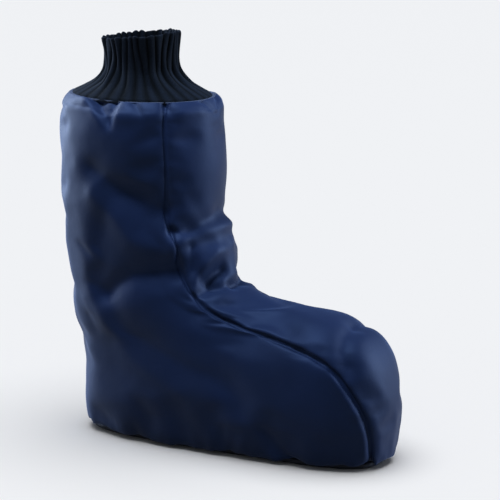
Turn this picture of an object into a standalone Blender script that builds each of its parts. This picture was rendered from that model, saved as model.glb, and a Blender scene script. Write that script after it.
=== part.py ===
"""Padded slip-on boot: a filled fabric upper, a soft sole, an insole and a ribbed knit cuff.

Metres, +Z up, toe towards +X. The origin is on the floor, halfway along the foot,
in the plane that the boot's two sides mirror each other in.
"""

import math
from collections import namedtuple

import bmesh
import bpy
import numpy as np

# Foot
FOOT_LENGTH = 0.309  # heel to toe
TOE_HEIGHT = 0.132  # floor to the top of the toe box
BALL_WIDTH = 0.118  # widest part of the foot
PINCH_PLACE = 0.200  # where the instep draws in most, ahead of the heel
PINCH_REACH = 0.060  # how far along the foot it draws in

# Shaft
SHAFT_DEPTH = 0.160  # front to back
SHAFT_WIDTH = 0.120  # side to side
SHAFT_CENTRE = 0.0535  # ahead of the heel
ANKLE_HEIGHT = 0.226  # where the shaft leaves the instep
SHAFT_HEIGHT = 0.318  # floor to the cuff seam

# Padded wall and its sewn seams
PADDING = 0.012
SEAM_DEPTH = 0.0026
SEAM_HALF_WIDTH = 0.0045
SEAM_STRIP_SHARE = 0.33  # a valley takes no more than this share of the front strip's half width

# Sole and insole
SOLE_THICKNESS = 0.007
SOLE_EDGE_TUCK = 0.0065  # how far the sole's edge rolls in, down at the floor
INSOLE_THICKNESS = 0.004
INSOLE_CLEARANCE = 0.0012

# Ribbed knit cuff
CUFF_HEIGHT = 0.052
CUFF_NECK_DEPTH = 0.070  # front to back
CUFF_NECK_WIDTH = 0.065  # side to side
CUFF_BASE_INSET = 0.001  # from the edge of the upper
KNIT_THICKNESS = 0.0026
RIB_COUNT = 32
RIB_HEIGHT = 0.0017

# Rounded edge of the insole: shares of its thickness, inwards and upwards
INSOLE_EDGE = [(0.3, 0.0), (0.0, 0.3), (0.0, 0.8), (0.4, 1.0)]

# Sewn pieces lie this far apart
JOINT_GAP = 0.0003

# Faceting
STRIP_COLUMNS = 5  # front centre line to the front seam
SIDE_COLUMNS = 14  # front seam to the back seam
PLAN_COLUMNS = 24  # half of the sole's outline
STEPS_PER_SECTION = 2
OUTLINE_SAMPLES = 361  # half a turn, before the columns are spaced along it
RIB_COLUMNS = 4
ROUNDING_STEPS = 4
NORMAL_SMOOTHING = 3  # passes, which keep the lining free of kinks
SHARP_EDGE = math.radians(75)  # the rims, but not the sewn valleys

# One section of the boot: a flat closed outline that runs right round it, tilted about Y,
# from a point on the back centre line to a point on the front centre line.
#   back, front            along X
#   back_rise, front_rise  along Z
#   crown                  how far the front centre line stands above the flat of the section
#   width                  side to side
#   widest                 where it is widest, as a share of the way from back to front
#   toe_square             2 is an ellipse and more is squarer, ahead of the widest place
#   heel_square            the same, behind it
#   seam                   the front seam's place, in degrees round from the front centre
#   pinch                  the share that the instep draws in
#   wall                   the share of the padding's full thickness
Section = namedtuple(
    "Section",
    "back back_rise front front_rise crown width widest toe_square heel_square seam pinch wall",
)

# Sole seam to the top of the toe box.
# Shares of FOOT_LENGTH along, TOE_HEIGHT up and BALL_WIDTH across. In every table the
# crown is a share of TOE_HEIGHT.
TOE_BOX = [
    Section(0.006, 0.000, 0.971, 0.000, 0.000, 0.71, 0.64, 3.1, 3.4, 17, 0.00, 0.45),
    Section(-0.016, 0.088, 0.990, 0.103, 0.000, 0.87, 0.64, 3.1, 3.2, 23, 0.00, 0.80),
    Section(-0.021, 0.264, 1.000, 0.327, 0.000, 0.95, 0.64, 3.1, 3.0, 31, 0.00, 1.00),
    Section(-0.023, 0.430, 0.993, 0.560, 0.000, 0.98, 0.63, 3.0, 2.8, 43, 0.03, 1.00),
    Section(-0.033, 0.570, 0.966, 0.750, 0.015, 1.00, 0.61, 2.9, 2.6, 52, 0.10, 1.00),
    Section(-0.045, 0.690, 0.912, 0.875, 0.035, 1.00, 0.57, 2.6, 2.4, 62, 0.20, 1.00),
    Section(-0.055, 0.810, 0.828, 0.935, 0.060, 1.00, 0.50, 2.3, 2.3, 66, 0.28, 1.00),
]

# Instep. Shares of the way from the last of TOE_BOX (0) to the first of SHAFT (1),
# and of SHAFT_WIDTH across.
INSTEP = [
    Section(0.22, 0.17, 0.26, 0.00, 0.070, 0.97, 0.45, 2.1, 2.2, 61, 0.30, 1.00),
    Section(0.44, 0.34, 0.50, 0.03, 0.055, 0.95, 0.44, 2.0, 2.1, 56, 0.20, 1.00),
    Section(0.67, 0.49, 0.71, 0.13, 0.030, 0.95, 0.45, 1.9, 2.1, 51, 0.10, 1.00),
    Section(0.78, 0.63, 0.86, 0.31, 0.010, 0.97, 0.47, 2.0, 2.1, 49, 0.00, 1.00),
    Section(0.89, 0.76, 0.91, 0.51, 0.000, 0.98, 0.48, 2.0, 2.1, 49, 0.00, 1.00),
    Section(1.00, 0.88, 1.01, 0.74, 0.000, 1.00, 0.50, 2.1, 2.1, 49, 0.00, 1.00),
]

# Shaft. Shares of SHAFT_DEPTH from SHAFT_CENTRE along, of the way from ANKLE_HEIGHT to
# SHAFT_HEIGHT up, and of SHAFT_WIDTH across.
SHAFT = [
    Section(-0.497, 0.17, 0.497, 0.13, 0.000, 1.00, 0.50, 2.1, 2.1, 50, 0.00, 1.00),
    Section(-0.497, 0.39, 0.503, 0.39, 0.000, 1.00, 0.50, 2.1, 2.1, 51, 0.00, 1.00),
    Section(-0.497, 0.62, 0.491, 0.63, 0.000, 1.00, 0.50, 2.1, 2.1, 51, 0.00, 1.00),
    Section(-0.491, 0.80, 0.484, 0.81, 0.000, 0.98, 0.50, 2.1, 2.1, 51, 0.00, 1.00),
    Section(-0.478, 0.93, 0.472, 0.93, 0.000, 0.95, 0.50, 2.1, 2.1, 51, 0.00, 0.80),
    Section(-0.441, 1.00, 0.441, 1.00, 0.000, 0.87, 0.50, 2.1, 2.1, 50, 0.00, 0.55),
]

# One level of the cuff: shares of the way from its base on the upper (0) to its neck (1),
# and of CUFF_HEIGHT up. The rim is higher in front than behind. ribs is a share of RIB_HEIGHT.
CuffLevel = namedtuple("CuffLevel", "back_draw front_draw side_draw back_rise front_rise ribs")
CUFF_LEVELS = [
    CuffLevel(0.00, 0.00, 0.00, 0.00, 0.00, 0.15),
    CuffLevel(0.40, 0.35, 0.36, 0.12, 0.11, 0.45),
    CuffLevel(0.76, 0.69, 0.70, 0.25, 0.24, 0.80),
    CuffLevel(0.97, 0.94, 0.95, 0.42, 0.41, 1.00),
    CuffLevel(1.00, 1.00, 1.02, 0.60, 0.60, 1.00),
    CuffLevel(0.98, 1.00, 0.98, 0.79, 0.83, 1.00),
    CuffLevel(0.93, 0.97, 0.93, 0.93, 1.06, 1.00),
]


def mix(start, end, share):
    return start + (end - start) * share


def fabric(name, colour, roughness, sheen):
    """A cloth material. The colour is linear."""
    material = bpy.data.materials.new(name)
    material.use_nodes = True
    shader = material.node_tree.nodes["Principled BSDF"]
    shader.inputs["Base Color"].default_value = (*colour, 1.0)
    shader.inputs["Roughness"].default_value = roughness
    shader.inputs["Metallic"].default_value = 0.0
    shader.inputs["Sheen Weight"].default_value = sheen
    material.diffuse_color = (*colour, 1.0)
    return material


def boot_sections():
    """Every section in metres, from the sole seam up to the cuff seam."""
    heel = -FOOT_LENGTH / 2
    seam_height = SOLE_THICKNESS + JOINT_GAP
    foot = [
        row._replace(
            back=heel + row.back * FOOT_LENGTH,
            front=heel + row.front * FOOT_LENGTH,
            back_rise=mix(seam_height, TOE_HEIGHT, row.back_rise),
            front_rise=mix(seam_height, TOE_HEIGHT, row.front_rise),
            crown=row.crown * TOE_HEIGHT,
            width=row.width * BALL_WIDTH,
        )
        for row in TOE_BOX
    ]
    shaft = [
        row._replace(
            back=heel + SHAFT_CENTRE + row.back * SHAFT_DEPTH,
            front=heel + SHAFT_CENTRE + row.front * SHAFT_DEPTH,
            back_rise=mix(ANKLE_HEIGHT, SHAFT_HEIGHT, row.back_rise),
            front_rise=mix(ANKLE_HEIGHT, SHAFT_HEIGHT, row.front_rise),
            crown=row.crown * TOE_HEIGHT,
            width=row.width * SHAFT_WIDTH,
        )
        for row in SHAFT
    ]
    low, high = foot[-1], shaft[0]
    instep = [
        row._replace(
            back=mix(low.back, high.back, row.back),
            front=mix(low.front, high.front, row.front),
            back_rise=mix(low.back_rise, high.back_rise, row.back_rise),
            front_rise=mix(low.front_rise, high.front_rise, row.front_rise),
            crown=row.crown * TOE_HEIGHT,
            width=row.width * SHAFT_WIDTH,
        )
        for row in INSTEP
    ]
    return foot + instep + shaft


def smooth_rows(rows, steps):
    """The rows with steps - 1 more between each two, on a smooth curve through them all."""
    table = np.array(rows, float)
    last = len(table) - 1
    smoothed = []
    for i in range(last):
        before, here, there, after = (table[min(max(k, 0), last)] for k in range(i - 1, i + 3))
        for step in range(steps):
            t = step / steps
            bend = (2 * before - 5 * here + 4 * there - after) * t**2
            bend = bend + (3 * here - before - 3 * there + after) * t**3
            smoothed.append(here + 0.5 * ((there - before) * t + bend))
    smoothed.append(table[-1])
    return smoothed


def half_outline(section):
    """Points of one side of a section, from the front centre to the back centre."""
    turn = np.linspace(0, math.pi, OUTLINE_SAMPLES)
    ahead = np.cos(turn) > 0
    power = 2 / np.where(ahead, section.toe_square, section.heel_square)
    lengthwise = np.abs(np.cos(turn)) ** power
    along = np.where(ahead, mix(section.widest, 1, lengthwise), section.widest * (1 - lengthwise))
    x = mix(section.back, section.front, along)
    z = mix(section.back_rise, section.front_rise, along)
    z = z + section.crown * np.where(ahead, np.cos(turn), 0) ** 2
    pinch_x = PINCH_PLACE - FOOT_LENGTH / 2
    pinch = section.pinch * np.exp(-(((x - pinch_x) / PINCH_REACH) ** 2))
    y = 0.5 * section.width * np.sin(turn) ** power * (1 - pinch)
    y[0] = y[-1] = 0.0
    return np.stack([x, y, z], axis=1)


def run_along(points):
    """Distance along a line of points, at each of them."""
    return np.append(0.0, np.cumsum(np.linalg.norm(np.diff(points, axis=0), axis=1)))


def section_ring(section):
    """A closed ring of columns round the boot, some on the seams and on their valleys' edges."""
    points = half_outline(section)
    run = run_along(points)
    seam = np.interp(section.seam, np.linspace(0, 180, OUTLINE_SAMPLES), run)
    valley = min(SEAM_HALF_WIDTH, seam * SEAM_STRIP_SHARE)
    strip = np.linspace(0, seam - valley, STRIP_COLUMNS)
    side = np.linspace(seam + valley, run[-1] - valley, SIDE_COLUMNS)
    places = np.concatenate([strip, [seam], side, [run[-1]]])
    half = np.stack([np.interp(places, run, points[:, k]) for k in range(3)], axis=1)
    mirrored = half[-2:0:-1] * [1, -1, 1]
    return np.concatenate([half, mirrored])


def plan_outline(section):
    """A closed ring of evenly spaced points round a section."""
    points = half_outline(section)
    run = run_along(points)
    places = np.linspace(0, run[-1], PLAN_COLUMNS + 1)
    half = np.stack([np.interp(places, run, points[:, k]) for k in range(3)], axis=1)
    return np.concatenate([half, half[-2:0:-1] * [1, -1, 1]])


def seam_columns():
    """The columns of a ring that lie on a seam: both front seams and the back one."""
    half_count = STRIP_COLUMNS + SIDE_COLUMNS + 1
    return [STRIP_COLUMNS, half_count, 2 * half_count - STRIP_COLUMNS]


def outward(rings):
    """Unit normals of a grid of rings, level at the first and last ring so that both rims stay flat."""
    round_step = np.roll(rings, -1, axis=1) - np.roll(rings, 1, axis=1)
    up_step = np.gradient(rings, axis=0)
    normals = np.cross(round_step, up_step)
    normals[[0, -1], :, 2] = 0
    normals /= np.linalg.norm(normals, axis=2, keepdims=True)
    for _ in range(NORMAL_SMOOTHING):
        beside = np.roll(normals, -1, axis=1) + np.roll(normals, 1, axis=1)
        normals[1:-1] += 0.5 * (beside[1:-1] + normals[:-2] + normals[2:])
        normals /= np.linalg.norm(normals, axis=2, keepdims=True)
    return normals


def loft(name, loops, material, ends):
    """A closed solid through loops of points.

    ends is 'joined' for a tube that returns to its first loop, and 'capped' for a pad.
    """
    mesh = bpy.data.meshes.new(name)
    bm = bmesh.new()
    rows = [[bm.verts.new(point) for point in loop] for loop in loops]
    count = len(rows[0])
    following = rows[1:] + rows[:1] if ends == "joined" else rows[1:]
    for low, high in zip(rows, following):
        for i in range(count):
            j = (i + 1) % count
            bm.faces.new((low[i], low[j], high[j], high[i]))
    if ends == "capped":
        bm.faces.new(rows[0][::-1])
        bm.faces.new(rows[-1])
    bmesh.ops.recalc_face_normals(bm, faces=bm.faces)
    bm.to_mesh(mesh)
    bm.free()
    mesh.shade_smooth()
    mesh.set_sharp_from_angle(angle=SHARP_EDGE)
    mesh.materials.append(material)
    piece = bpy.data.objects.new(name, mesh)
    bpy.context.scene.collection.objects.link(piece)
    return piece


def inset_outline(ring, distance):
    """A level ring moved in by a distance, square to its own line."""
    step = np.roll(ring, -1, axis=0) - np.roll(ring, 1, axis=0)
    inward = np.stack([-step[:, 1], step[:, 0], np.zeros(len(ring))], axis=1)
    centre = ring.mean(axis=0)
    if ((centre - ring) * inward).sum() < 0:
        inward = -inward
    return ring + inward / np.linalg.norm(inward, axis=1, keepdims=True) * distance


def at_height(ring, height):
    return np.concatenate([ring[:, :2], np.full((len(ring), 1), height)], axis=1)


def make_upper(sections, material):
    """Padded shell, open at the sole and at the cuff, with its front and back seams sewn in.

    Returns the rings of its inner face.
    """
    outside = np.array([section_ring(section) for section in sections])
    normals = outward(outside)
    walls = np.array([PADDING * section.wall for section in sections])
    inside = outside - normals * walls[:, None, None]
    sewn = seam_columns()
    outside[:, sewn] -= normals[:, sewn] * SEAM_DEPTH
    loft("upper", np.concatenate([outside, inside[::-1]]), material, "joined")
    return inside


def make_sole(outline, material):
    """Soft pad with a flat underside. Its edge rolls up from the floor to the sole seam."""
    loops = []
    for step in range(ROUNDING_STEPS + 1):
        turn = 0.5 * math.pi * step / ROUNDING_STEPS
        tucked = inset_outline(outline, SOLE_EDGE_TUCK * (1 - math.sin(turn)))
        loops.append(at_height(tucked, SOLE_THICKNESS * (1 - math.cos(turn))))
    loft("sole", loops, material, "capped")


def make_insole(outline, material):
    """Thin footbed that lies on the sole, inside the lowest ring of the upper's inner face."""
    floor = SOLE_THICKNESS + JOINT_GAP
    edge = inset_outline(outline, INSOLE_CLEARANCE)
    loops = [
        at_height(inset_outline(edge, inward * INSOLE_THICKNESS), floor + up * INSOLE_THICKNESS)
        for inward, up in INSOLE_EDGE
    ]
    loft("insole", loops, material, "capped")


def cuff_ring(level, base, turns, raised):
    """A ring of the cuff. raised lifts each point off the knit's plain surface, outwards."""
    depth_draw = np.where(np.cos(turns) > 0, level.front_draw, level.back_draw)
    along = (np.cos(turns) + 1) / 2
    length = mix(base.front - base.back, CUFF_NECK_DEPTH, depth_draw)
    width = mix(base.width, CUFF_NECK_WIDTH, level.side_draw)
    centre = (base.front + base.back) / 2
    x = centre + (0.5 * length + raised) * np.cos(turns)
    y = (0.5 * width + raised) * np.sin(turns)
    rise = mix(level.back_rise, level.front_rise, along) * CUFF_HEIGHT
    return np.stack([x, y, base.back_rise + JOINT_GAP + rise], axis=1)


def make_cuff(top, material):
    """Knit tube whose ribs fan out over the top of the upper."""
    base = top._replace(
        back=top.back + CUFF_BASE_INSET,
        front=top.front - CUFF_BASE_INSET,
        width=top.width - 2 * CUFF_BASE_INSET,
    )
    turns = np.linspace(0, 2 * math.pi, RIB_COUNT * RIB_COLUMNS, endpoint=False)
    rib = 0.5 + 0.5 * np.cos(RIB_COUNT * turns)
    levels = [CuffLevel(*row) for row in smooth_rows(CUFF_LEVELS, STEPS_PER_SECTION)]
    outside = [cuff_ring(level, base, turns, RIB_HEIGHT * level.ribs * (rib - 1)) for level in levels]
    lining = levels[::STEPS_PER_SECTION]
    inside = [cuff_ring(level, base, turns, -RIB_HEIGHT - KNIT_THICKNESS) for level in lining]
    loft("cuff", outside + inside[::-1], material, "joined")


def main():
    for old in list(bpy.data.objects):
        bpy.data.objects.remove(old)

    satin = fabric("navy_satin", (0.010, 0.018, 0.060), 0.42, 0.2)
    underside = fabric("dark_sole_cloth", (0.006, 0.008, 0.016), 0.75, 0.1)
    footbed = fabric("footbed_felt", (0.020, 0.024, 0.040), 0.90, 0.3)
    knit = fabric("dark_rib_knit", (0.004, 0.006, 0.012), 0.85, 0.4)

    sections = [Section(*row) for row in smooth_rows(boot_sections(), STEPS_PER_SECTION)]
    lining = make_upper(sections, satin)
    make_sole(plan_outline(sections[0]), underside)
    make_insole(lining[0], footbed)
    make_cuff(sections[-1], knit)


main()
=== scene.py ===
import math
import random

import bpy
import numpy as np
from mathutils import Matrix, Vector, noise
from mathutils.bvhtree import BVHTree


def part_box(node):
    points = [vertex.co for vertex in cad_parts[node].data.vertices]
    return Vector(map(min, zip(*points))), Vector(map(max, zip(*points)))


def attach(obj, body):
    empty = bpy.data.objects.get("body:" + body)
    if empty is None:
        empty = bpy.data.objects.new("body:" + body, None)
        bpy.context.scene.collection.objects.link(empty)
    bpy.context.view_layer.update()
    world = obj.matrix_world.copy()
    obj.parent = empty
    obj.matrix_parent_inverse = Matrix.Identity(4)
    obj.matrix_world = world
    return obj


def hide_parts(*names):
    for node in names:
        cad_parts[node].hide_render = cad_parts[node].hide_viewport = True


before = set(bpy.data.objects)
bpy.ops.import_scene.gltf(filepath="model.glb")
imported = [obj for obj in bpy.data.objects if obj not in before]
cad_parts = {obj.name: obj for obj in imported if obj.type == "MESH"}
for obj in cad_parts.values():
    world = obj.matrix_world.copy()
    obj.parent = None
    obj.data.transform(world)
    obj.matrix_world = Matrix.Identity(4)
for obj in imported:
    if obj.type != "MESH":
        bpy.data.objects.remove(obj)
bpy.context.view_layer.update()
mm = 0.001


# small helpers

def hexColour(text):
    # an sRGB hex value, made linear
    shares = [int(text[i:i + 2], 16) / 255 for i in (0, 2, 4)]
    return tuple(s / 12.92 if s <= 0.04045 else ((s + 0.055) / 1.055) ** 2.4 for s in shares) + (1.0,)


def addNode(tree, kind, settings=None, links=None):
    node = tree.nodes.new(kind)
    for name, value in (settings or {}).items():
        if isinstance(name, int) or name in node.inputs:
            node.inputs[name].default_value = value
        else:
            setattr(node, name, value)
    for name, socket in (links or {}).items():
        tree.links.new(socket, node.inputs[name])
    return node


def addNoise(tree, place, size, detail, roughness=0.5):
    return addNode(tree, "ShaderNodeTexNoise", {"Scale": 1 / size, "Detail": detail, "Roughness": roughness},
                   {"Vector": place}).outputs["Fac"]


def addMath(tree, operation, *values):
    # each value is a number or another node's socket
    numbers = {i: v for i, v in enumerate(values) if isinstance(v, (int, float))}
    sockets = {i: v for i, v in enumerate(values) if i not in numbers}
    return addNode(tree, "ShaderNodeMath", {"operation": operation, **numbers}, sockets).outputs[0]


def mixColours(tree, share, deep, pale):
    settings = {"data_type": "RGBA", 6: hexColour(deep), 7: hexColour(pale)}
    return addNode(tree, "ShaderNodeMix", settings, {0: share}).outputs[2]


def addBump(tree, height, strength, distance, under=None):
    # relief of the given depth in millimetres, over the relief below it
    links = {"Height": height}
    if under is not None:
        links["Normal"] = under
    return addNode(tree, "ShaderNodeBump", {"Strength": strength, "Distance": distance * mm}, links).outputs["Normal"]


def newMaterial(name, shaderSettings):
    material = bpy.data.materials.new(name)
    material.use_nodes = True
    tree = material.node_tree
    shader = tree.nodes["Principled BSDF"]
    for socket, value in shaderSettings.items():
        shader.inputs[socket].default_value = value
    return material, tree, shader


def finishMaterial(tree, shader, colour, normal):
    tree.links.new(colour, shader.inputs["Base Color"])
    tree.links.new(normal, shader.inputs["Normal"])


def useOnly(piece):
    bpy.ops.object.select_all(action="DESELECT")
    piece.select_set(True)
    bpy.context.view_layer.objects.active = piece


def editAll(piece):
    useOnly(piece)
    bpy.ops.object.mode_set(mode="EDIT")
    bpy.ops.mesh.select_mode(type="FACE")
    bpy.ops.mesh.select_all(action="SELECT")


def editSlot(piece, slotIndex):
    # edit mode, with the faces of one material slot selected
    editAll(piece)
    bpy.ops.mesh.select_all(action="DESELECT")
    leaveEdit()
    for face in piece.data.polygons:
        face.select = face.material_index == slotIndex
    bpy.ops.object.mode_set(mode="EDIT")


def leaveEdit():
    bpy.ops.object.mode_set(mode="OBJECT")


def copyNode(node, name):
    # the CAD node's mesh as a new piece, welded and made of four-sided faces again
    piece = bpy.data.objects.new(name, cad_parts[node].data.copy())
    piece.data.name = name
    bpy.context.scene.collection.objects.link(piece)
    editAll(piece)
    bpy.ops.mesh.remove_doubles(threshold=0.01 * mm)
    bpy.ops.mesh.tris_convert_to_quads(face_threshold=math.pi, shape_threshold=math.pi, topology_influence=2.0)
    leaveEdit()
    piece.data.materials.clear()
    return piece


def applyModifier(piece, kind, **settings):
    useOnly(piece)
    modifier = piece.modifiers.new(kind.title(), kind)
    for name, value in settings.items():
        setattr(modifier, name, value)
    bpy.ops.object.modifier_apply(modifier=modifier.name)


def smoothOut(piece, levels):
    applyModifier(piece, "SUBSURF", levels=levels, render_levels=levels)


def readPoints(piece):
    flat = np.empty(len(piece.data.vertices) * 3)
    piece.data.vertices.foreach_get("co", flat)
    return flat.reshape(-1, 3)


def readNormals(piece):
    flat = np.empty(len(piece.data.vertices) * 3)
    piece.data.vertices.foreach_get("normal", flat)
    return flat.reshape(-1, 3)


def writePoints(piece, points):
    piece.data.vertices.foreach_set("co", np.ascontiguousarray(points).ravel())
    piece.data.update()


def pointsOf(piece, slotIndex):
    # which vertices belong to faces of one material slot, and to no other
    owns = np.zeros(len(piece.data.vertices), bool)
    others = np.zeros(len(piece.data.vertices), bool)
    for face in piece.data.polygons:
        target = owns if face.material_index == slotIndex else others
        target[list(face.vertices)] = True
    return owns, others


def surfaceOf(piece):
    mesh = piece.data
    return BVHTree.FromPolygons([v.co[:] for v in mesh.vertices], [f.vertices[:] for f in mesh.polygons])


def onSurface(surface, path):
    # the path's points, given in millimetres, put on the cloth
    return np.array([surface.find_nearest(Vector(point) * mm)[0] for point in path])


def pathReach(points, path):
    # for each point, how far it is from the path, and how far along the path it lies
    best = np.full(len(points), 1e9)
    along = np.zeros(len(points))
    start = 0.0
    for a, b in zip(path[:-1], path[1:]):
        step = b - a
        length = max(np.linalg.norm(step), 1e-9)
        share = np.clip((points - a) @ step / length ** 2, 0, 1)
        away = np.linalg.norm(points - a - share[:, None] * step, axis=1)
        nearer = away < best
        best[nearer] = away[nearer]
        along[nearer] = start + share[nearer] * length
        start += length
    return best, along, start


def ease(values):
    values = np.clip(values, 0, 1)
    return values * values * (3 - 2 * values)


def grain(points, size, seed):
    # soft unevenness of about the given size, from -1 to 1
    shift = Vector((seed * 7.3, seed * 3.1, seed * 5.7))
    return np.array([noise.noise(Vector(p) / size + shift) for p in points])


# camera: the photograph's angle, 28 degrees round from the side and from a little above

view = {"turn": 28, "away": 2.0, "height": 0.634, "target": (-0.015, 0.0, 0.18), "sideStep": 0.0222, "lens": 162.4}


def setCamera():
    turn = math.radians(view["turn"])
    target = Vector(view["target"])
    place = Vector((target.x + math.sin(turn) * view["away"], -math.cos(turn) * view["away"], view["height"]))
    right = Vector((math.cos(turn), math.sin(turn), 0))
    camera = bpy.data.cameras.new("camera")
    camera.lens = view["lens"]
    camera.sensor_width = 36
    viewer = bpy.data.objects.new("camera", camera)
    viewer.location = place
    viewer.rotation_euler = (target + right * view["sideStep"] - place).to_track_quat("-Z", "Y").to_euler()
    bpy.context.scene.collection.objects.link(viewer)
    bpy.context.scene.camera = viewer


# stage and light: a pale floor in a dim pale world, side softboxes and one overhead that light the boot alone

studio = {
    "floorColour": "f3f4f6",
    "floorLight": 2.5,
    "worldColour": "eef2f8",
    "worldStrength": 0.22,
    "lightColour": "cfe2fc",
    # name, place, aimed at, size, watts
    "softboxes": [
        ("leftSoftbox", (-1.35, 0.10, 0.70), (-0.10, 0, 0.20), (0.7, 1.4), 66),
        ("rightSoftbox", (1.30, 0.75, 0.70), (0.05, 0, 0.15), (0.7, 1.3), 78),
        ("overhead", (-0.22, -0.45, 1.62), (-0.05, 0, 0.15), (0.5, 0.4), 64),
    ],
}


def setStudio(litPieces):
    scene = bpy.context.scene
    world = bpy.data.worlds.new("studio")
    world.use_nodes = True
    background = world.node_tree.nodes["Background"]
    background.inputs["Color"].default_value = hexColour(studio["worldColour"])
    background.inputs["Strength"].default_value = studio["worldStrength"]
    scene.world = world
    bootOnly = bpy.data.collections.new("boot")
    scene.collection.children.link(bootOnly)
    for piece in litPieces:
        bootOnly.objects.link(piece)
    for name, place, aim, size, watts in studio["softboxes"]:
        light = bpy.data.lights.new(name, "AREA")
        light.shape = "RECTANGLE"
        light.size, light.size_y = size
        light.energy = watts
        light.color = hexColour(studio["lightColour"])[:3]
        lamp = bpy.data.objects.new(name, light)
        lamp.location = place
        lamp.rotation_euler = (Vector(aim) - Vector(place)).to_track_quat("-Z", "Y").to_euler()
        lamp.light_linking.receiver_collection = bootOnly
        scene.collection.objects.link(lamp)
    bpy.ops.object.select_all(action="DESELECT")
    bpy.ops.mesh.primitive_plane_add(size=30, location=(0, 0, 0))
    floor = bpy.context.object
    floor.name = floor.data.name = "studioFloor"
    # matt white paper: no shine, so the floor stays even
    paper, tree, shader = newMaterial("mattWhitePaper", {
        "Base Color": hexColour(studio["floorColour"]), "Roughness": 0.95, "Specular IOR Level": 0.1})
    floor.data.materials.append(paper)
    floorOnly = bpy.data.collections.new("floor")
    scene.collection.children.link(floorOnly)
    floorOnly.objects.link(floor)
    wash = bpy.data.lights.new("floorWash", "SUN")
    wash.energy = studio["floorLight"]
    wash.angle = math.radians(60)
    washLamp = bpy.data.objects.new("floorWash", wash)
    washLamp.light_linking.receiver_collection = floorOnly
    scene.collection.objects.link(washLamp)
    scene.view_settings.view_transform = "Standard"


# materials

satinLook = {"deep": "060c1c", "pale": "0b142b", "thread": 0.9 * mm, "crinkle": 9 * mm, "shade": 55 * mm}


def dyedSatin():
    # nylon satin, piece-dyed navy: long floats give it a soft broad gloss that runs pale at the edges
    material, tree, shader = newMaterial("dyedNylonSatin", {
        "Roughness": 0.58,
        "IOR": 1.5,
        "Specular IOR Level": 0.17,
        "Specular Tint": hexColour("8fb0ea"),
        "Sheen Weight": 0.1,
        "Sheen Roughness": 0.4,
        "Sheen Tint": hexColour("7fa6e6"),
    })
    place = addNode(tree, "ShaderNodeTexCoord").outputs["Object"]
    shade = addNoise(tree, place, satinLook["shade"], 2.0)
    tint = mixColours(tree, shade, satinLook["deep"], satinLook["pale"])
    # the weave is drawn at 0.9 mm, three times coarser than real, so that it shows at all
    weave = addNode(tree, "ShaderNodeTexWave", {
        "Scale": 1 / satinLook["thread"] / 2, "Distortion": 0.6, "Detail": 1.0, "bands_direction": "DIAGONAL"},
        {"Vector": place})
    crinkle = addNoise(tree, place, satinLook["crinkle"], 3.0, 0.55)
    soft = addBump(tree, crinkle, 0.35, 0.5)
    fine = addBump(tree, weave.outputs["Fac"], 0.05, 0.1, soft)
    finishMaterial(tree, shader, tint, fine)
    return material


fleeceLook = {"deep": "10131c", "pale": "1e2330", "nap": 2.2 * mm}


def brushedFleece(name):
    # brushed polyester fleece: short nap scatters the light, so there is no gloss
    material, tree, shader = newMaterial(name, {
        "Roughness": 0.95, "Specular IOR Level": 0.15, "Sheen Weight": 0.4, "Sheen Roughness": 0.6,
        "Sheen Tint": hexColour("55607a")})
    place = addNode(tree, "ShaderNodeTexCoord").outputs["Object"]
    nap = addNoise(tree, place, fleeceLook["nap"], 3.0)
    tint = mixColours(tree, nap, fleeceLook["deep"], fleeceLook["pale"])
    finishMaterial(tree, shader, tint, addBump(tree, nap, 0.7, 0.8))
    return material


# shell: the padded upper. Places are in millimetres on the near side, sizes too.
# Each crease is (name, half width at its start and end, depth at its start and end, path);
# a trough is deeper than 0 and a ridge is less.

shell = {
    "frontSeam": [
        (143, -19, 7), (146, -28, 20), (146, -32, 33), (144, -36, 48), (139, -41, 62), (131, -45, 76), (122, -47, 88),
        (110, -48, 99), (92, -48, 107), (71, -45, 113), (48, -41, 117), (27, -41, 121), (13, -41, 125), (3, -42, 128),
        (-6, -43, 132), (-13, -44, 136), (-20, -43, 141), (-27, -43, 148), (-32, -43, 156), (-36, -44, 166),
        (-39, -44, 176), (-41, -44, 188), (-45, -45, 199), (-49, -46, 211), (-49, -46, 225), (-49, -47, 251),
        (-50, -47, 273), (-51, -47, 293), (-52, -45, 310), (-55, -40, 318)],
    "backSeam": [(-153, 0, 7), (-159, 0, 18), (-162, 0, 61), (-168, 0, 93), (-177, 0, 150), (-181, 0, 243), (-180, 0, 283), (-172, 0, 318)],
    "grooveWidth": 1.7,
    "grooveDepth": 2.0,
    "puckerPitch": 8.5,
    "puckerReach": 9.0,
    "puckerDepth": 0.55,
    "farShift": 7,
    "seed": 11,
    # cloth run: the spare cloth is a share, and clothMost is as far as a point may move
    "clothFrames": 20, "clothSpare": 0.02, "clothPressure": 2.0, "clothStiffness": 10, "clothBending": 3.0,
    "clothMost": 5.0, "clothEven": 4, "clothSpread": 90, "clothPuff": 0.2,
    # the cloth is held within this reach of a seam, and from these heights over these distances
    "seamHold": 4, "bottomHold": (10, 8), "topHold": (318, 12),
    "ankleBend": [(-25, -35, 165), (-2, 0, 158), (-25, 35, 165)], "bendReach": 45, "bendLeft": 0.15,
    # the strip stands over the panel: depth and reach each side of the seam, and where along it, as shares
    "underStrip": 2.6, "underReach": 16, "overPanel": 1.3, "overReach": 11,
    "stepAlways": 0.25, "stepInstep": 0.8, "instepShares": (0.2, 0.54), "instepFade": 0.16,
    # unevenness: depth and size
    "uneven": [(0.7, 45), (0.25, 16)],
    "mostMove": 10.0, "softRounds": 3,
    "rollTop": 34, "rollDrop": 12.0, "rollFlat": 10, "rollFade": 22, "rollEdge": 7, "lowest": 0.6,
    "gatherPitch": 15, "gatherDepth": 2.4,
}

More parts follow.
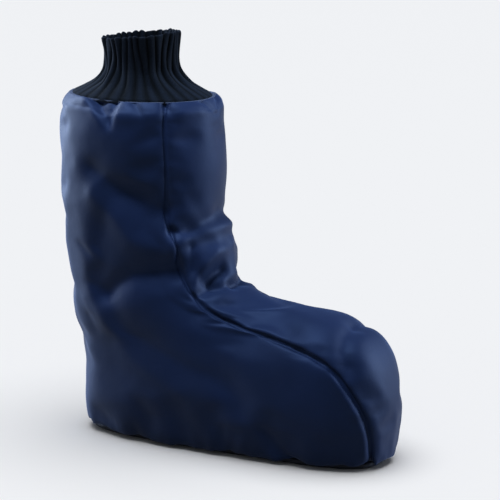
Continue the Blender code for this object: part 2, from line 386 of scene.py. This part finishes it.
creases = [
    ("upperSwell", (26, 26), (-2.6, -2.2), [(-120, -58, 292), (-90, -60, 287), (-62, -55, 282)]),
    ("sideTrough", (9, 13), (3.2, 5.2), [(-120, -59, 256), (-90, -59, 239), (-67, -55, 228), (-50, -46, 220)]),
    ("sideWedge", (11, 15), (-2.6, -4.6), [(-118, -59, 232), (-95, -59, 212), (-80, -58, 194), (-62, -53, 188), (-47, -46, 187)]),
    ("pocketTrough", (8, 11), (4.4, 5.6), [(-110, -54, 140), (-98, -56, 151), (-82, -57, 161), (-64, -54, 165), (-44, -47, 169)]),
    ("pocketFoot", (12, 12), (-1.0, -1.4), [(-112, -54, 120), (-96, -56, 128), (-82, -57, 136), (-60, -54, 142), (-40, -48, 146)]),
    ("heelPatch", (6, 6), (-0.8, -0.8), [(-135, -46, 133), (-130, -47, 122)]),
    ("heelDent", (5, 6), (1.2, 0.8), [(-132, -47, 116), (-125, -47, 104)]),
    ("vPleat", (9, 3), (5.0, 2.0), [(-112, -52, 320), (-106, -56, 313), (-102, -58, 306), (-100, -59, 296)]),
    ("vPleatLeft", (4.5, 3), (5.0, 2.0), [(-127, -43, 321), (-115, -54, 314), (-107, -58, 306), (-101, -59, 299)]),
    ("vPleatRight", (4.5, 3), (5.5, 2.0), [(-98, -50, 320), (-98, -56, 313), (-99, -58, 304)]),
    ("topPuffA", (9, 9), (-2.4, -2.4), [(-90, -58, 307), (-82, -56, 307)]),
    ("topPuffB", (8, 8), (-2.0, -2.0), [(-65, -52, 308), (-58, -48, 308)]),
    ("topPuffC", (8, 8), (-2.2, -2.2), [(-42, -32, 308), (-33, -20, 308)]),
    ("vPleatLip", (5, 4), (-2.0, -0.6), [(-128, -49, 315), (-118, -55, 308), (-110, -58, 299)]),
    ("backLobe", (8, 9), (-2.0, -1.0), [(-134, -46, 315), (-148, -42, 308), (-158, -38, 298)]),
    ("tickA", (4, 2.5), (2.6, 0.6), [(-80, -52, 318), (-75, -53, 313), (-70, -54, 307)]),
    ("tickB", (3.5, 2.5), (2.6, 0.6), [(-52, -43, 317), (-49, -42, 312), (-47, -41, 307)]),
    ("tickC", (3, 2.5), (2.4, 0.8), [(-33, -14, 318), (-27, -8, 313), (-25, -3, 305)]),
    ("ankleEave", (8, 8), (-1.6, -0.4), [(-46, -43, 216), (-35, -38, 218), (-28, -26, 221)]),
    ("ankleTrough", (5, 7), (5.0, 1.6), [(-46, -43, 202), (-37, -38, 202), (-30, -29, 205), (-26, -16, 209), (-23, 1, 212)]),
    ("ankleRidge", (6, 8), (-1.2, -3.2), [(-42, -43, 193), (-32, -35, 195), (-24, -21, 200), (-19, -1, 202), (-24, 18, 200)]),
    ("ankleDentA", (7, 6), (3.4, 1.6), [(-31, -34, 190), (-26, -27, 190), (-21, -17, 190)]),
    ("ankleDentB", (5, 6), (2.6, 2.2), [(-30, -37, 188), (-29, -37, 178), (-27, -38, 168)]),
    ("ankleSlantTop", (6, 6), (-1.8, -2.4), [(-20, -8, 184), (-10, -8, 184)]),
    ("ankleSlant", (6, 6), (-3.4, -3.0), [(-16, -17, 182), (-21, -28, 172), (-24, -35, 162), (-25, -41, 150)]),
    ("ankleDeep", (6, 9), (7.0, 9.5), [(-9, -15, 166), (-11, -21, 164), (-14, -27, 160), (-17, -32, 156)]),
    ("ankleFloor", (4, 5), (3.6, 4.6), [(-20, -40, 147), (-13, -33, 150), (-5, -24, 152), (2, -6, 154), (2, 10, 154)]),
    ("instepSpot", (4, 4), (1.2, 1.2), [(3, -32, 139), (7, -28, 139)]),
    ("toeValley", (9, 9), (4.6, 4.0), [(117, -4, 126), (117, -24, 120), (120, -36, 110), (127, -40, 98)]),
    ("toeLip", (3, 3), (-1.4, -1.8), [(116, -50, 90), (128, -47, 72), (137, -43, 55), (141, -38, 38), (141, -33, 22)]),
    ("gatherA", (3, 3), (2.0, 0.6), [(-3, -45, 9), (4, -50, 18), (11, -53, 30)]),
    ("gatherB", (3, 3), (2.0, 0.6), [(10, -46, 10), (18, -51, 19), (25, -53, 28)]),
    ("gatherC", (3, 3), (2.0, 0.6), [(24, -46, 10), (32, -50, 18), (40, -53, 26)]),
    ("bottomFold", (4, 4), (2.4, 2.4), [(51, -54, 33), (60, -52, 24), (72, -49, 15), (86, -46, 10)]),
    ("bottomSwell", (8, 8), (-1.0, -1.0), [(66, -54, 38), (84, -53, 30), (104, -51, 24)]),
]


def seamPaths():
    # the front seam, its mirror image on the far side, and the back seam
    return shell["frontSeam"], [(x, -y, z) for x, y, z in shell["frontSeam"]], shell["backSeam"]


def creaseHeight(points, surface, rows):
    height = np.zeros(len(points))
    for name, widths, depths, path in rows:
        away, along, length = pathReach(points, onSurface(surface, path))
        share = along / length
        width = (widths[0] + (widths[1] - widths[0]) * share) * mm
        depth = (depths[0] + (depths[1] - depths[0]) * share) * mm
        height -= depth * np.exp(-(away / width) ** 1.7)
    return height


def farSide(rows, seed, shift):
    # the same creases on the side that the photograph hides, each moved a little
    chance = random.Random(seed)
    far = []
    for name, widths, depths, path in rows:
        dx, dz = chance.uniform(-shift, shift), chance.uniform(-shift, shift)
        if name.startswith(("vPleat", "tick", "gather", "toeLip", "backLobe")):
            dx = dz = 0
        scale = chance.uniform(0.7, 1.1)
        far.append((name, widths, tuple(d * scale for d in depths), [(x + dx, -y, z + dz) for x, y, z in path]))
    return far


def outerFaces(piece):
    # the shell's outside: the larger of the two skins that the rims at top and bottom part
    mesh = piece.data
    heights = [v.co.z for v in mesh.vertices]
    top, bottom = max(heights), min(heights)
    skin = [not (abs(f.normal.z) > 0.8 and (f.center.z > top - 4 * mm or f.center.z < bottom + 3 * mm))
            for f in mesh.polygons]
    facesAt = {}
    for face in mesh.polygons:
        for key in face.edge_keys:
            facesAt.setdefault(key, []).append(face.index)
    group = [-1] * len(mesh.polygons)
    widest = (0, -1)
    for first in range(len(mesh.polygons)):
        if not skin[first] or group[first] >= 0:
            continue
        group[first] = first
        todo, xs = [first], []
        while todo:
            face = mesh.polygons[todo.pop()]
            xs.append(face.center.x)
            for key in face.edge_keys:
                for other in facesAt[key]:
                    if skin[other] and group[other] < 0:
                        group[other] = first
                        todo.append(other)
        widest = max(widest, (max(xs) - min(xs), first))
    return [g == widest[1] for g in group]


def keepTopEdge(piece):
    # the collar edge keeps its height when the piece is smoothed
    top = max(v.co.z for v in piece.data.vertices)
    crease = piece.data.attributes.new("crease_edge", "FLOAT", "EDGE")
    for edge in piece.data.edges:
        if all(piece.data.vertices[v].co.z > top - 0.6 * mm for v in edge.vertices):
            crease.data[edge.index].value = 0.75


def bottomRing(piece):
    # the outline along which the shell is sewn to the sole, from above
    bottom = min(v.co.z for v in piece.data.vertices)
    ring = set()
    for face in piece.data.polygons:
        if face.material_index == 0:
            ring.update(v for v in face.vertices if piece.data.vertices[v].co.z < bottom + 0.5 * mm)
    places = sorted((tuple(piece.data.vertices[v].co) for v in ring), key=lambda p: math.atan2(p[1], p[0]))
    return np.array([(x, y, 0) for x, y, z in places + places[:1]])


def rollUnder(points, ring):
    # the padding hangs below the seam and hides the sole, gathered all round
    low = points[:, 2] < shell["rollTop"] * mm
    flat = points[low] * (1, 1, 0)
    away, along, length = pathReach(flat, ring)
    pitch = shell["gatherPitch"] * mm
    broad = np.array([noise.noise(Vector((s / pitch, 2.1, 0.4))) for s in along])
    close = np.array([noise.noise(Vector((s / pitch * 2.3, 5.1, 0.4))) for s in along])
    beat = broad + 0.4 * close
    z = points[low, 2]
    near = 1 - ease((z - shell["rollFlat"] * mm) / (shell["rollFade"] * mm))
    drop = (shell["rollDrop"] + shell["gatherDepth"] * beat) * mm * ease(away / (shell["rollEdge"] * mm)) * near
    points[low, 2] = np.maximum(z - drop, shell["lowest"] * mm)
    return low, beat, near


def spreadOut(piece, values, rounds):
    # each vertex takes the mean of its neighbours, again and again
    ends = np.empty(len(piece.data.edges) * 2, int)
    piece.data.edges.foreach_get("vertices", ends)
    a, b = ends.reshape(-1, 2).T
    count = np.bincount(np.concatenate([a, b]), minlength=len(values))[:, None]
    for turn in range(rounds):
        total = np.stack([np.bincount(a, values[b, k], len(values)) + np.bincount(b, values[a, k], len(values))
                          for k in range(3)], axis=1)
        values = 0.5 * values + 0.5 * total / count
    return values


def puffPanels(piece):
    # a short cloth run: the panels swell and buckle between their seams, which stay put
    points = readPoints(piece)
    surface = surfaceOf(piece)
    satinPoints, otherPoints = pointsOf(piece, 0)
    loose = satinPoints & ~otherPoints
    hold = np.ones(len(points))
    for path in seamPaths():
        away, along, length = pathReach(points, onSurface(surface, path))
        hold = np.minimum(hold, ease(away / (shell["seamHold"] * mm)))
    (low, lowReach), (high, highReach) = shell["bottomHold"], shell["topHold"]
    z = points[:, 2]
    hold *= ease((z - low * mm) / (lowReach * mm)) * ease((high * mm - z) / (highReach * mm))
    group = piece.vertex_groups.new(name="sewn")
    pins = np.where(loose, 1 - hold, 1.0)
    for level in np.unique(np.round(pins, 1)):
        group.add([int(i) for i in np.flatnonzero(np.round(pins, 1) == level)], float(level), "REPLACE")
    useOnly(piece)
    modifier = piece.modifiers.new("Cloth", "CLOTH")
    cloth = modifier.settings
    cloth.quality = 5
    cloth.mass = 0.3
    cloth.tension_stiffness = cloth.compression_stiffness = shell["clothStiffness"]
    cloth.shear_stiffness = 3
    cloth.bending_stiffness = shell["clothBending"]
    cloth.vertex_group_mass = group.name
    cloth.shrink_min = -shell["clothSpare"]
    cloth.use_pressure = True
    cloth.uniform_pressure_force = shell["clothPressure"]
    cloth.effector_weights.gravity = 0
    modifier.collision_settings.use_collision = False
    modifier.point_cache.frame_start = 1
    modifier.point_cache.frame_end = shell["clothFrames"]
    for step in range(1, shell["clothFrames"] + 1):
        bpy.context.scene.frame_set(step)
    bpy.ops.object.modifier_apply(modifier=modifier.name)
    bpy.context.scene.frame_set(1)
    after = readPoints(piece)
    move = after - points
    size = np.linalg.norm(move, axis=1)
    most = shell["clothMost"] * mm
    move *= np.where(size > most, most / np.maximum(size, 1e-9), 1)[:, None]
    move[~loose] = 0
    move = spreadOut(piece, move, shell["clothEven"])
    # the wide part of the swelling would change the boot's outline, so most of it is taken off again
    wide = spreadOut(piece, move, shell["clothSpread"])
    move -= (1 - shell["clothPuff"]) * wide
    # the bend of the ankle stays tight
    away, along, length = pathReach(points, np.array(shell["ankleBend"]) * mm)
    left = shell["bendLeft"]
    move *= (left + (1 - left) * ease(away / (shell["bendReach"] * mm)))[:, None]
    writePoints(piece, points + move)
    piece.vertex_groups.clear()
    print("shell: cloth moved", round(size[loose].mean() * 1000, 2), "mm on average,", round(size.max() * 1000, 1), "at most")


def makeShell(satin, fleece):
    piece = copyNode("upper", "paddedShell")
    piece.data.materials.append(satin)
    piece.data.materials.append(fleece)
    outside = outerFaces(piece)
    print("shell: quads", sum(len(f.vertices) == 4 for f in piece.data.polygons), "of", len(piece.data.polygons),
          "outside", sum(outside))
    for face, out in zip(piece.data.polygons, outside):
        face.material_index = 0 if out else 1
    keepTopEdge(piece)
    soleRing = bottomRing(piece)
    smoothOut(piece, 2)
    puffPanels(piece)
    # finer faces outside, and fewer in the lining
    editSlot(piece, 0)
    bpy.ops.mesh.subdivide(number_cuts=1, smoothness=0)
    bpy.ops.mesh.select_all(action="INVERT")
    bpy.ops.mesh.decimate(ratio=0.25)
    leaveEdit()

    satinPoints, otherPoints = pointsOf(piece, 0)
    points = readPoints(piece)
    normals = readNormals(piece)
    outer = np.flatnonzero(satinPoints)
    here = points[outer]
    surface = surfaceOf(piece)

    height = creaseHeight(here, surface, creases)
    height += creaseHeight(here, surface, farSide(creases, shell["seed"], shell["farShift"]))
    for path in seamPaths():
        seam = onSurface(surface, path)
        away, along, length = pathReach(here, seam)
        height -= shell["grooveDepth"] * mm * np.exp(-(away / (shell["grooveWidth"] * mm)) ** 2)
        pitch = shell["puckerPitch"] * mm
        beat = np.array([noise.noise(Vector((s / pitch, d / (25 * mm), 3.7))) for s, d in zip(along, away)])
        fade = np.exp(-away / (shell["puckerReach"] * mm)) * ease(away / (2 * mm))
        height += shell["puckerDepth"] * 2 * mm * beat * fade
        if path is shell["backSeam"]:
            continue
        # the strip stands over the side panel, most of all along the instep
        stops = np.concatenate([[0], np.cumsum(np.linalg.norm(np.diff(seam, axis=0), axis=1))])
        panelSide = np.abs(here[:, 1]) > np.interp(along, stops, np.abs(seam[:, 1]))
        share = along / length
        (start, end), fade = shell["instepShares"], shell["instepFade"]
        instep = shell["stepInstep"] * ease((share - start) / fade) * ease((end - share) / fade)
        under = -shell["underStrip"] * np.exp(-away / (shell["underReach"] * mm))
        over = shell["overPanel"] * np.exp(-(away / (shell["overReach"] * mm)) ** 2)
        height += np.where(panelSide, under, over) * mm * (shell["stepAlways"] + instep) * ease(away / (1.5 * mm))
    for seed, (depth, size) in enumerate(shell["uneven"], 1):
        height += depth * mm * grain(here, size * mm, seed)
    limit = shell["mostMove"] * mm
    height = np.clip(height, -limit, limit)
    move = np.zeros_like(points)
    move[outer] = normals[outer] * height[:, None]
    points[outer] += spreadOut(piece, move, shell["softRounds"])[outer]
    moved = points[outer]
    low, beat, near = rollUnder(moved, soleRing)
    moved[low] += normals[outer][low] * (shell["gatherDepth"] * 0.5 * mm * beat * near)[:, None]
    moved[:, 2] = np.maximum(moved[:, 2], shell["lowest"] * mm)
    points[outer] = moved
    writePoints(piece, points)
    useOnly(piece)
    bpy.ops.object.shade_smooth()
    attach(piece, "root")
    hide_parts("upper")
    print("shell done", len(piece.data.polygons), "faces")
    return piece


# cuff: rib knit, drawn in to a narrow neck

cuff = {
    "ribs": 32, "columnsPerRib": 12, "height": 52, "neckDepth": 70, "neckWidth": 65, "thickness": 2.6,
    "ribHeight": 2.3, "outRows": 76, "rimRows": 8, "inRows": 36,
    # share of the way in to the neck at the back, front and side; share of the height at the back and front; rib share
    "levels": [
        (0.00, 0.00, 0.00, 0.00, 0.00, 0.25), (0.40, 0.35, 0.36, 0.12, 0.11, 0.50), (0.76, 0.69, 0.70, 0.25, 0.24, 0.80),
        (0.97, 0.94, 0.95, 0.42, 0.41, 1.00), (1.00, 1.00, 1.02, 0.60, 0.60, 1.00), (0.98, 1.00, 0.98, 0.79, 0.83, 1.00),
        (0.93, 0.97, 0.93, 0.93, 1.06, 1.00)],
    "stitchRows": 110, "scallop": 1.4, "tuck": 2.0,
}


def curveRows(rows, shares):
    # Catmull-Rom through the rows of a table, read at shares from 0 to 1
    table = np.array([rows[0]] + list(rows) + [rows[-1]], float)
    place = np.clip(shares, 0, 1) * (len(rows) - 1)
    index = np.minimum(place.astype(int), len(rows) - 2)
    t = (place - index)[:, None]
    a, b, c, d = (table[index + k] for k in range(4))
    return 0.5 * (2 * b + (c - a) * t + (2 * a - 5 * b + 4 * c - d) * t ** 2 + (3 * b - a - 3 * c + d) * t ** 3)


# deep is the painted shade of the grooves, pale the painted light of the rib tops
knitLook = {"deep": "010203", "pale": "0b1018", "fuzz": 1.6 * mm}


def ribKnit():
    # acrylic rib knit, near black: fuzzy yarn, dull, with painted shade down in the grooves and painted light on the
    # rib tops
    material, tree, shader = newMaterial("acrylicRibKnit", {
        "Roughness": 0.92, "Specular IOR Level": 0.04, "Sheen Weight": 0.04, "Sheen Roughness": 0.5,
        "Sheen Tint": hexColour("7f93b6")})
    uv = addNode(tree, "ShaderNodeTexCoord").outputs["UV"]
    parts = addNode(tree, "ShaderNodeSeparateXYZ", None, {0: uv})
    groove = addMath(tree, "PINGPONG", addMath(tree, "MULTIPLY", parts.outputs["X"], cuff["ribs"]), 0.5)
    # chevron stitches, about 1 mm apart on the outside
    down = addMath(tree, "MULTIPLY", parts.outputs["Y"], cuff["stitchRows"])
    stitches = addMath(tree, "PINGPONG", addMath(tree, "MULTIPLY_ADD", groove, 2.2, down), 0.5)
    place = addNode(tree, "ShaderNodeTexCoord").outputs["Object"]
    fuzz = addNoise(tree, place, knitLook["fuzz"], 3.0)
    # painted light and shade: pale on the rib tops and dark down in the grooves; uneven below is this painted light
    # and shade broken up by random fuzz
    paintedRibLightAndShade = addNode(tree, "ShaderNodeMapRange", {1: 0.42, 2: 0.08, 3: 0.0, 4: 1.0}, {0: groove})
    uneven = addMath(tree, "MULTIPLY", paintedRibLightAndShade.outputs[0], fuzz)
    tint = mixColours(tree, uneven, knitLook["deep"], knitLook["pale"])
    stitch = addBump(tree, stitches, 0.3, 0.3)
    finishMaterial(tree, shader, tint, addBump(tree, fuzz, 0.4, 0.4, stitch))
    return material


def cuffSway(turns, share):
    # how far the ribs wander sideways, as a phase
    sway = 1.3 * np.sin(turns * 3 + 5 * share) + np.sin(turns * 5 - 7 * share + 1) + 0.5 * np.sin(turns * 11 + 9 * share)
    return sway * share


def cuffFolds(turns, share):
    # slack gathers: strongest where the neck opens out, none at the seam
    bend = np.exp(-((share - 0.42) / 0.2) ** 2)
    gather = np.sin(turns * 13 + 2.0 * np.sin(turns * 2) + 2.5 * share)
    top = np.sin(turns * 8 + 3 * share + 1.5 * np.sin(turns * 3)) * ease((share - 0.6) / 0.4)
    # one deep pleat in the flare, on the near side
    pleat = np.exp(-((turns - 5.33) / 0.055) ** 2) * np.exp(-((share - 0.3) / 0.2) ** 2)
    return (1.5 * bend * gather + 1.1 * top - 2.4 * pleat) * mm


def makeCuff(knit):
    low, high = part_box("cuff")
    columns = cuff["ribs"] * cuff["columnsPerRib"]
    rows = cuff["outRows"] + cuff["rimRows"] + cuff["inRows"]
    bpy.ops.object.select_all(action="DESELECT")
    bpy.ops.mesh.primitive_grid_add(x_subdivisions=columns, y_subdivisions=rows, size=2)
    piece = bpy.context.object
    piece.name = piece.data.name = "ribKnitCuff"
    flat = readPoints(piece)
    turns = (flat[:, 0] + 1) * math.pi
    row = np.rint((flat[:, 1] + 1) / 2 * rows).astype(int) % rows
    # up the outside, over the rim, down the inside
    rim = np.linspace(0, math.pi, cuff["rimRows"] + 2)[1:-1]
    shares = np.concatenate([
        np.linspace(0, 1, cuff["outRows"]), np.ones(cuff["rimRows"]), np.linspace(1, 0, cuff["inRows"])])
    inward = np.concatenate([np.zeros(cuff["outRows"]), (1 - np.cos(rim)) / 2, np.ones(cuff["inRows"])])[row]
    lift = np.concatenate([np.zeros(cuff["outRows"]), np.sin(rim) / 2, np.zeros(cuff["inRows"])])[row]
    back, front, side, backRise, frontRise, ribShare = curveRows(cuff["levels"], shares)[row].T
    share = shares[row]
    rib = np.abs(np.cos((turns * cuff["ribs"] + cuffSway(turns, share)) / 2)) ** 0.6
    raised = cuff["ribHeight"] * ribShare * (rib - 1) * (1 - 0.5 * inward) - cuff["thickness"] * inward
    raised = raised * mm + cuffFolds(turns, share)
    halfLength, halfWidth = (high.x - low.x) / 2, (high.y - low.y) / 2
    draw = np.where(np.cos(turns) > 0, front, back)
    length = halfLength + (cuff["neckDepth"] * mm / 2 - halfLength) * draw
    width = halfWidth + (cuff["neckWidth"] * mm / 2 - halfWidth) * side
    along = (np.cos(turns) + 1) / 2
    rise = (backRise + (frontRise - backRise) * along) * cuff["height"]
    scallop = cuff["scallop"] * rib * share ** 8 * (1 + 0.7 * np.sin(turns * 9 + 1) * np.sin(turns * 4))
    tuck = cuff["tuck"] * (1 - ease(share / 0.06))
    points = np.stack([
        (low.x + high.x) / 2 + (length + raised) * np.cos(turns),
        (width + raised) * np.sin(turns),
        low.z + (rise + lift * cuff["thickness"] + scallop - tuck) * mm], axis=1)
    writePoints(piece, points)
    # the UV map follows the ribs as they wander
    corner = np.empty(len(piece.data.loops) * 2)
    layer = piece.data.uv_layers[0].data
    layer.foreach_get("uv", corner)
    corner = corner.reshape(-1, 2)
    vertexAt = np.empty(len(piece.data.loops), int)
    piece.data.loops.foreach_get("vertex_index", vertexAt)
    corner[:, 0] += (cuffSway(turns, share) / cuff["ribs"] / 2 / math.pi)[vertexAt]
    layer.foreach_set("uv", corner.ravel())
    piece.data.materials.append(knit)
    editAll(piece)
    bpy.ops.mesh.remove_doubles(threshold=0.02 * mm)
    bpy.ops.mesh.select_all(action="SELECT")
    bpy.ops.mesh.normals_make_consistent(inside=False)
    leaveEdit()
    bpy.ops.object.shade_smooth()
    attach(piece, "root")
    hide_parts("cuff")
    print("cuff done", len(piece.data.polygons), "faces")
    return piece


# sole and footbed

sole = {"voxel": 2.5, "edgePucker": 0.5, "cushion": 0.5}


def soleCloth():
    # coated nylon, dull and faintly pebbled, for grip on the floor
    material, tree, shader = newMaterial("coatedNylonSole", {"Roughness": 0.75, "Specular IOR Level": 0.25})
    place = addNode(tree, "ShaderNodeTexCoord").outputs["Object"]
    pebble = addNode(tree, "ShaderNodeTexVoronoi", {"Scale": 1 / (2.6 * mm)}, {"Vector": place}).outputs["Distance"]
    finishMaterial(tree, shader, mixColours(tree, pebble, "0c0f18", "161a26"), addBump(tree, pebble, 0.5, 0.3))
    return material


def makePad(node, name, material, cushion):
    piece = copyNode(node, name)
    low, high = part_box(node)
    applyModifier(piece, "REMESH", mode="VOXEL", voxel_size=sole["voxel"] * mm)
    smoothOut(piece, 1)
    points = readPoints(piece)
    normals = readNormals(piece)
    height = cushion * mm * grain(points, 14 * mm, 5)
    points += normals * height[:, None]
    points[:, 2] = np.clip(points[:, 2], low.z, high.z + 1 * mm)
    writePoints(piece, points)
    piece.data.materials.append(material)
    useOnly(piece)
    bpy.ops.object.shade_smooth()
    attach(piece, "root")
    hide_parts(node)
    print(name, "done", len(piece.data.polygons), "faces")
    return piece


setCamera()
setStudio([
    makeShell(dyedSatin(), brushedFleece("brushedFleeceLining")),
    makeCuff(ribKnit()),
    makePad("sole", "paddedSole", soleCloth(), sole["edgePucker"]),
    makePad("insole", "feltFootbed", brushedFleece("needledFeltFootbed"), sole["cushion"]),
])
